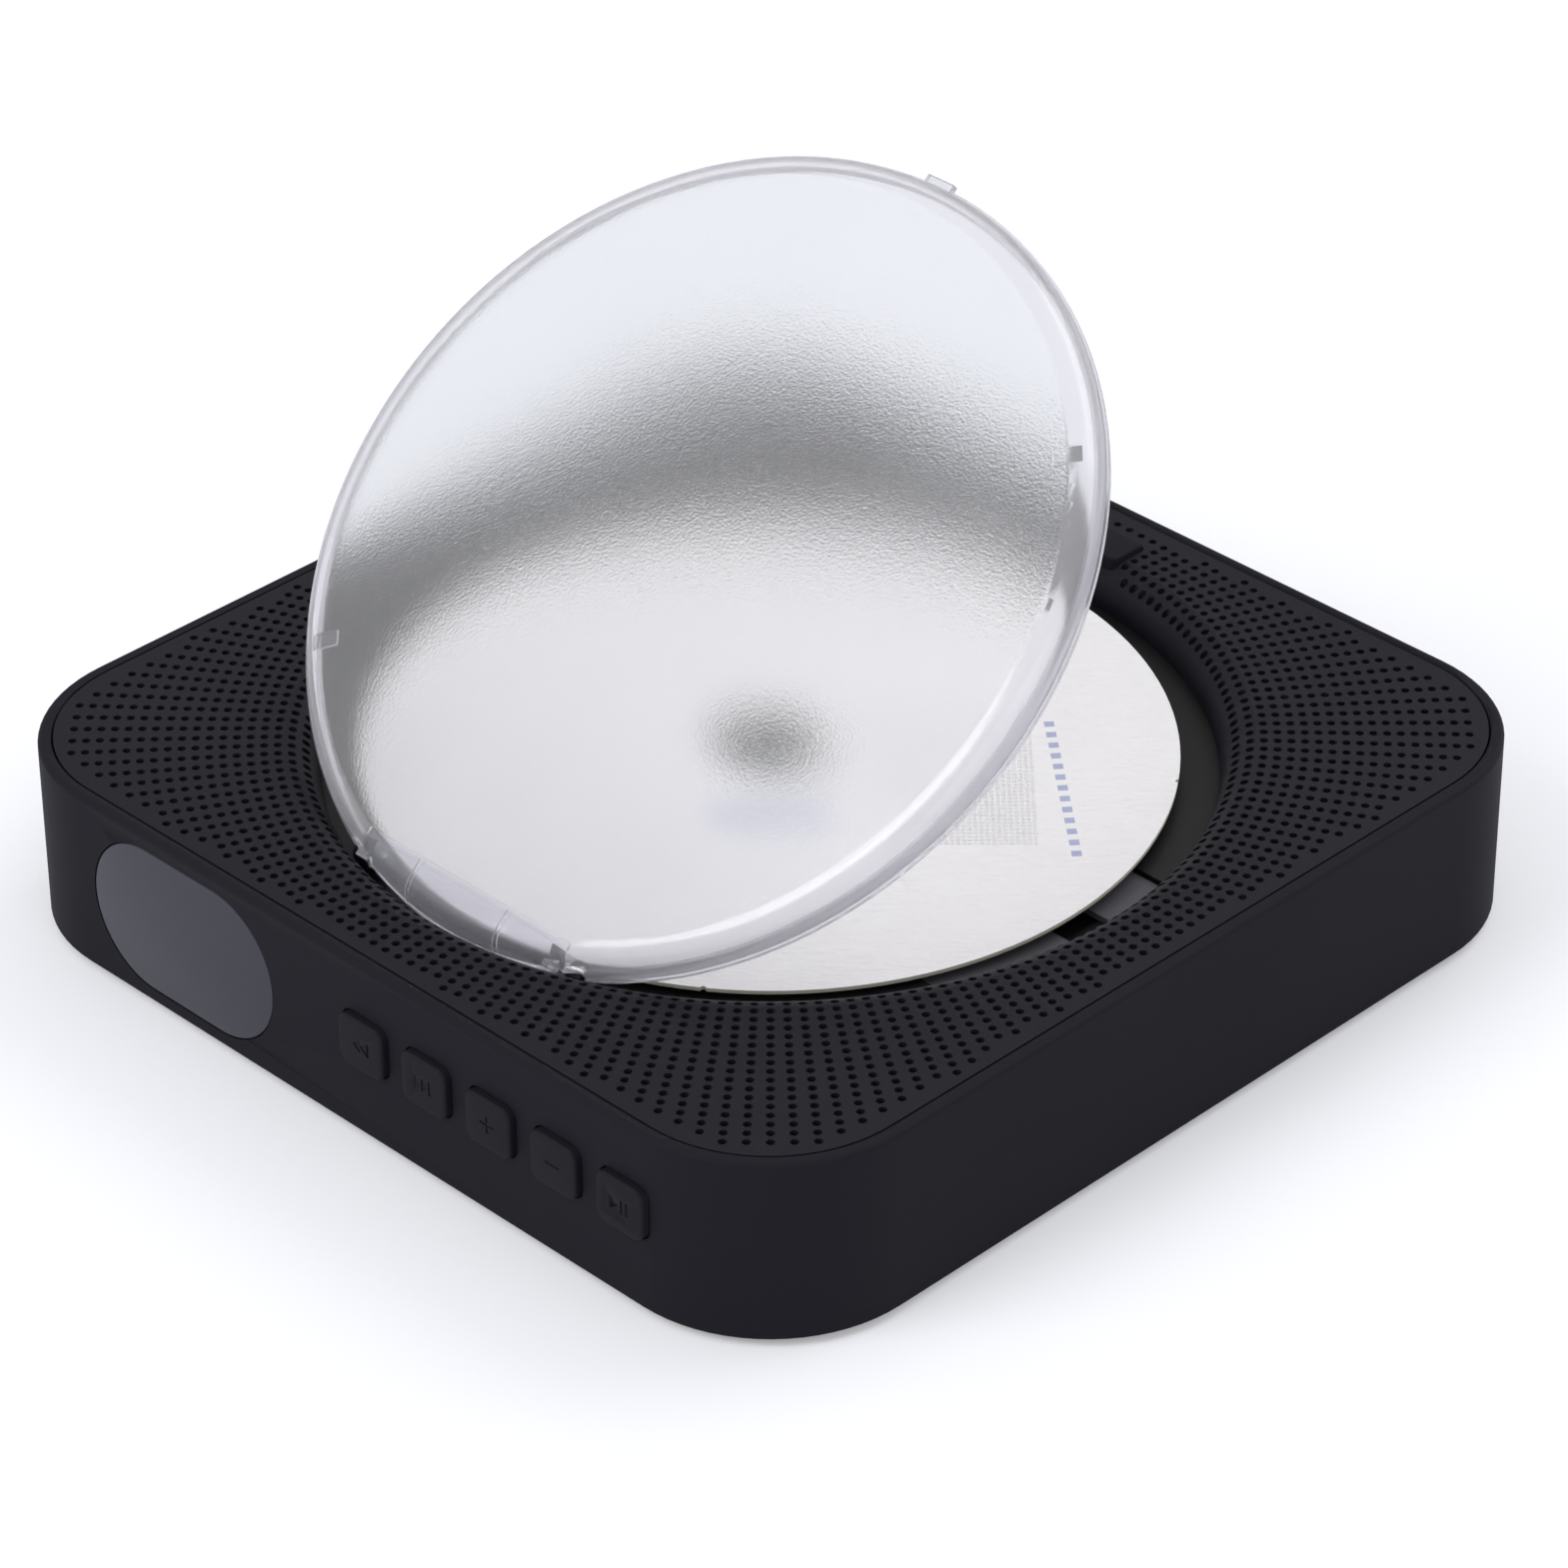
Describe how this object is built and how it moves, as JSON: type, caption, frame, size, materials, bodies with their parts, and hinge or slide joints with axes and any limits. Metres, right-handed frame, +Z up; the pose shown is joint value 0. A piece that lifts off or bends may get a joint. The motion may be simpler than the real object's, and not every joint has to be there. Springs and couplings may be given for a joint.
{
  "type": "wall mounted cd player",
  "caption": "Square wall mounted disc player with a round see-through lid over a disc well, perforated loudspeaker grille, front keys and a display window.",
  "frame": {"origin": "centre of the four rubber feet on the ground, below the axis of the disc well", "axes": "+Z up out of the disc well, -Y the side with the keys and the display, +X along the keys to the right"},
  "size_m": [0.202, 0.2048, 0.1309],
  "materials": {
    "case_plastic": "soft touch, fine grain",
    "grille_plastic": "fine grain",
    "well_plastic": "satin",
    "felt": "dull",
    "clear_lid": "clear rim with a frosted panel",
    "window_plastic": "smoked",
    "key_plastic": "fine grain",
    "rubber": "matt",
    "steel": "satin",
    "zinc": "plated",
    "board": "lacquered board",
    "chip": "matt",
    "grey_plastic": "fine grain",
    "white_plastic": "satin",
    "paper_cone": "pressed",
    "magnet": "bare",
    "battery_wrap": "shrink film",
    "card": "white coated",
    "lens": "polished"
  },
  "bodies": {
    "housing": {"main_case": "case_plastic", "rear_cover": "case_plastic", "grille_panel": "grille_plastic", "grille_felt": "felt", "disc_well": "well_plastic", "hinge_pins": "steel", "display_window": "window_plastic", "display_module": "chip", "display_board": "board", "key_board": "board", "key_switches": "chip", "main_board": "board", "board_chips": "chip", "capacitors": "battery_wrap", "usb_port": "zinc", "headphone_jack": "chip", "aux_jack": "chip", "power_inlet": "chip", "switch_body": "zinc", "speaker_baskets": "magnet", "speaker_cones": "paper_cone", "speaker_magnets": "magnet", "battery_pack": "battery_wrap", "mech_cover": "grey_plastic", "mech_chassis": "grey_plastic", "mech_dampers": "rubber", "damper_screws": "zinc", "spindle_motor": "steel", "card_disc": "card", "guide_rods": "steel", "sled_motor": "steel", "rubber_feet": "rubber", "case_screws": "zinc"},
    "lid_body": {"lid": "clear_lid"},
    "release_key": {"lid_release": "case_plastic"},
    "previous_key": {"key_previous": "key_plastic"},
    "next_key": {"key_next": "key_plastic"},
    "plus_key": {"key_plus": "key_plastic"},
    "minus_key": {"key_minus": "key_plastic"},
    "mode_key": {"key_mode": "key_plastic"},
    "switch_knob": {"power_switch": "well_plastic"},
    "spindle": {"spindle_shaft": "steel", "turntable_hub": "well_plastic", "centring_balls": "steel"},
    "laser_sled": {"pickup_sled": "chip", "pickup_lens": "lens"},
    "sled_gear": {"drive_gear": "white_plastic"},
    "pinion": {"motor_pinion": "white_plastic"}
  },
  "joints": [
    {"name": "lid_hinge", "type": "hinge", "parent": "housing", "child": "lid_body", "pos_m": [0, -0.072, 0.0317], "axis": [1, 0, 0], "range_deg": [-40, 0]},
    {"name": "release_press", "type": "slide", "parent": "housing", "child": "release_key", "axis": [0, 0, -1], "range_m": [0, 0.0012], "stiffness_N_per_m": 700, "springref_m": -0.0004},
    {"name": "previous_press", "type": "slide", "parent": "housing", "child": "previous_key", "axis": [0, 1, 0], "range_m": [0, 0.0008], "stiffness_N_per_m": 900, "springref_m": -0.0003},
    {"name": "next_press", "type": "slide", "parent": "housing", "child": "next_key", "axis": [0, 1, 0], "range_m": [0, 0.0008], "stiffness_N_per_m": 900, "springref_m": -0.0003},
    {"name": "plus_press", "type": "slide", "parent": "housing", "child": "plus_key", "axis": [0, 1, 0], "range_m": [0, 0.0008], "stiffness_N_per_m": 900, "springref_m": -0.0003},
    {"name": "minus_press", "type": "slide", "parent": "housing", "child": "minus_key", "axis": [0, 1, 0], "range_m": [0, 0.0008], "stiffness_N_per_m": 900, "springref_m": -0.0003},
    {"name": "mode_press", "type": "slide", "parent": "housing", "child": "mode_key", "axis": [0, 1, 0], "range_m": [0, 0.0008], "stiffness_N_per_m": 900, "springref_m": -0.0003},
    {"name": "switch_slide", "type": "slide", "parent": "housing", "child": "switch_knob", "axis": [1, 0, 0], "range_m": [0, 0.003]},
    {"name": "spindle_spin", "type": "hinge", "parent": "housing", "child": "spindle", "pos_m": [0, 0, 0.02], "axis": [0, 0, 1], "continuous": true},
    {"name": "sled_slide", "type": "slide", "parent": "housing", "child": "laser_sled", "axis": [1, 0, 0], "range_m": [0, 0.0345]},
    {"name": "gear_spin", "type": "hinge", "parent": "housing", "child": "sled_gear", "pos_m": [0.033, 0.02895, 0.018], "axis": [0, 0, 1], "range_deg": [-2, 415]},
    {"name": "pinion_spin", "type": "hinge", "parent": "housing", "child": "pinion", "pos_m": [0.033, 0.04215, 0.018], "axis": [0, 0, 1], "range_deg": [-1405, 5]}
  ],
  "couplings": [
    {"joint": "gear_spin", "follows": "sled_slide", "rad_per_m": 208.33},
    {"joint": "pinion_spin", "follows": "sled_slide", "rad_per_m": -708.33}
  ]
}
